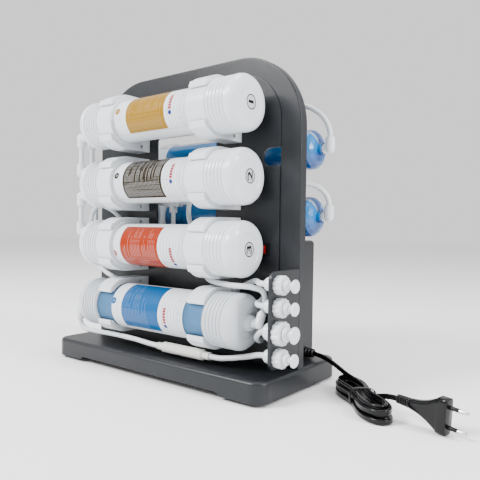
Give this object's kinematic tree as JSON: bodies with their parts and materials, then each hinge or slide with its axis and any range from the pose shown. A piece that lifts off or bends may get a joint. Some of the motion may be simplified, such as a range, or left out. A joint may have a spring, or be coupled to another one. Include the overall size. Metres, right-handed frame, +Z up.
{
  "type": "reverse osmosis unit",
  "caption": "Countertop water purifier: horizontal filter housings clipped to an arched frame on a base tray, with quick-connect ports, pump box, rocker switch and mains cord.",
  "frame": {"origin": "centre of the unit's footprint, without the mains cord, on the surface it stands on", "axes": "+Z up; -Y to the front, where the housings are; +X to the user's right, where the ports are"},
  "size_m": [0.5476, 0.164, 0.392],
  "materials": {
    "frame_plastic": "satin, fine texture",
    "foot_rubber": "matte",
    "white_plastic": "gloss",
    "screw_steel": "plain",
    "label_1": "printed film",
    "label_2": "printed film",
    "label_3": "printed film",
    "label_4": "printed film",
    "filter_media": "matte",
    "carbon": "matte",
    "membrane_film": "film",
    "clear_plastic": "clear",
    "blue_film": "gloss film",
    "restrictor_plastic": "gloss",
    "black_plastic": "satin",
    "rocker_red": "gloss",
    "tube_white": "satin",
    "motor_steel": "satin",
    "rotor_steel": "plain",
    "cord_black": "gloss",
    "pin_nickel": "polished"
  },
  "bodies": {
    "unit": {"base_tray": "frame_plastic", "frame_arch": "frame_plastic", "inner_panel": "frame_plastic", "rear_box": "frame_plastic", "rear_cover": "frame_plastic", "port_bracket": "frame_plastic", "base_feet": "foot_rubber", "screws": "screw_steel", "cartridge_1_tube": "white_plastic", "cartridge_1_port_cap": "white_plastic", "cartridge_1_end_cap": "white_plastic", "cartridge_1_label": "label_1", "cartridge_1_element": "filter_media", "cartridge_2_tube": "white_plastic", "cartridge_2_port_cap": "white_plastic", "cartridge_2_end_cap": "white_plastic", "cartridge_2_label": "label_2", "cartridge_2_element": "carbon", "cartridge_3_tube": "white_plastic", "cartridge_3_port_cap": "white_plastic", "cartridge_3_end_cap": "white_plastic", "cartridge_3_label": "label_3", "cartridge_3_element": "carbon", "membrane_tube": "clear_plastic", "membrane_left_cap": "clear_plastic", "membrane_right_cap": "clear_plastic", "membrane_label": "label_4", "membrane_element": "membrane_film", "front_clips": "white_plastic", "switch_body": "black_plastic", "port_fittings": "white_plastic", "port_nuts": "white_plastic", "rear_filter_1": "blue_film", "rear_filter_2": "blue_film", "rear_filter_elements": "carbon", "rear_clips": "white_plastic", "elbow_fittings": "white_plastic", "flow_restrictor": "restrictor_plastic", "front_tubes": "tube_white", "rear_tubes": "tube_white", "pump_motor": "motor_steel", "pump_head": "black_plastic", "power_adapter": "black_plastic", "cord_gland": "black_plastic", "cord_feed": "cord_black", "cord_hank": "cord_black", "cord_tail": "cord_black", "cord_tie": "cord_black", "plug_body": "cord_black", "plug_pins": "pin_nickel"},
    "rocker": {"switch_rocker": "rocker_red"},
    "rotor": {"pump_rotor": "rotor_steel"},
    "pure_plug": {"pure_port_plug": "white_plastic"},
    "pure_collet": {"pure_port_collet": "white_plastic"},
    "tank_plug": {"tank_port_plug": "white_plastic"},
    "tank_collet": {"tank_port_collet": "white_plastic"},
    "inlet_plug": {"inlet_port_plug": "white_plastic"},
    "inlet_collet": {"inlet_port_collet": "white_plastic"},
    "drain_plug": {"drain_port_plug": "white_plastic"},
    "drain_collet": {"drain_port_collet": "white_plastic"}
  },
  "joints": [
    {"name": "rocker_tilt", "type": "hinge", "parent": "unit", "child": "rocker", "pos_m": [0.1161, -0.0105, 0.1615], "axis": [0, 0, 1], "range_deg": [0, 22]},
    {"name": "pump_spin", "type": "hinge", "parent": "unit", "child": "rotor", "pos_m": [-0.0705, 0.034, 0.072], "axis": [1, 0, 0], "continuous": true},
    {"name": "pure_plug_pull", "type": "slide", "parent": "unit", "child": "pure_plug", "axis": [1, 0, 0], "range_m": [0, 0.018]},
    {"name": "pure_collet_press", "type": "slide", "parent": "unit", "child": "pure_collet", "axis": [-1, 0, 0], "range_m": [0, 0.0012]},
    {"name": "tank_plug_pull", "type": "slide", "parent": "unit", "child": "tank_plug", "axis": [1, 0, 0], "range_m": [0, 0.018]},
    {"name": "tank_collet_press", "type": "slide", "parent": "unit", "child": "tank_collet", "axis": [-1, 0, 0], "range_m": [0, 0.0012]},
    {"name": "inlet_plug_pull", "type": "slide", "parent": "unit", "child": "inlet_plug", "axis": [1, 0, 0], "range_m": [0, 0.018]},
    {"name": "inlet_collet_press", "type": "slide", "parent": "unit", "child": "inlet_collet", "axis": [-1, 0, 0], "range_m": [0, 0.0012]},
    {"name": "drain_plug_pull", "type": "slide", "parent": "unit", "child": "drain_plug", "axis": [1, 0, 0], "range_m": [0, 0.018]},
    {"name": "drain_collet_press", "type": "slide", "parent": "unit", "child": "drain_collet", "axis": [-1, 0, 0], "range_m": [0, 0.0012]}
  ]
}
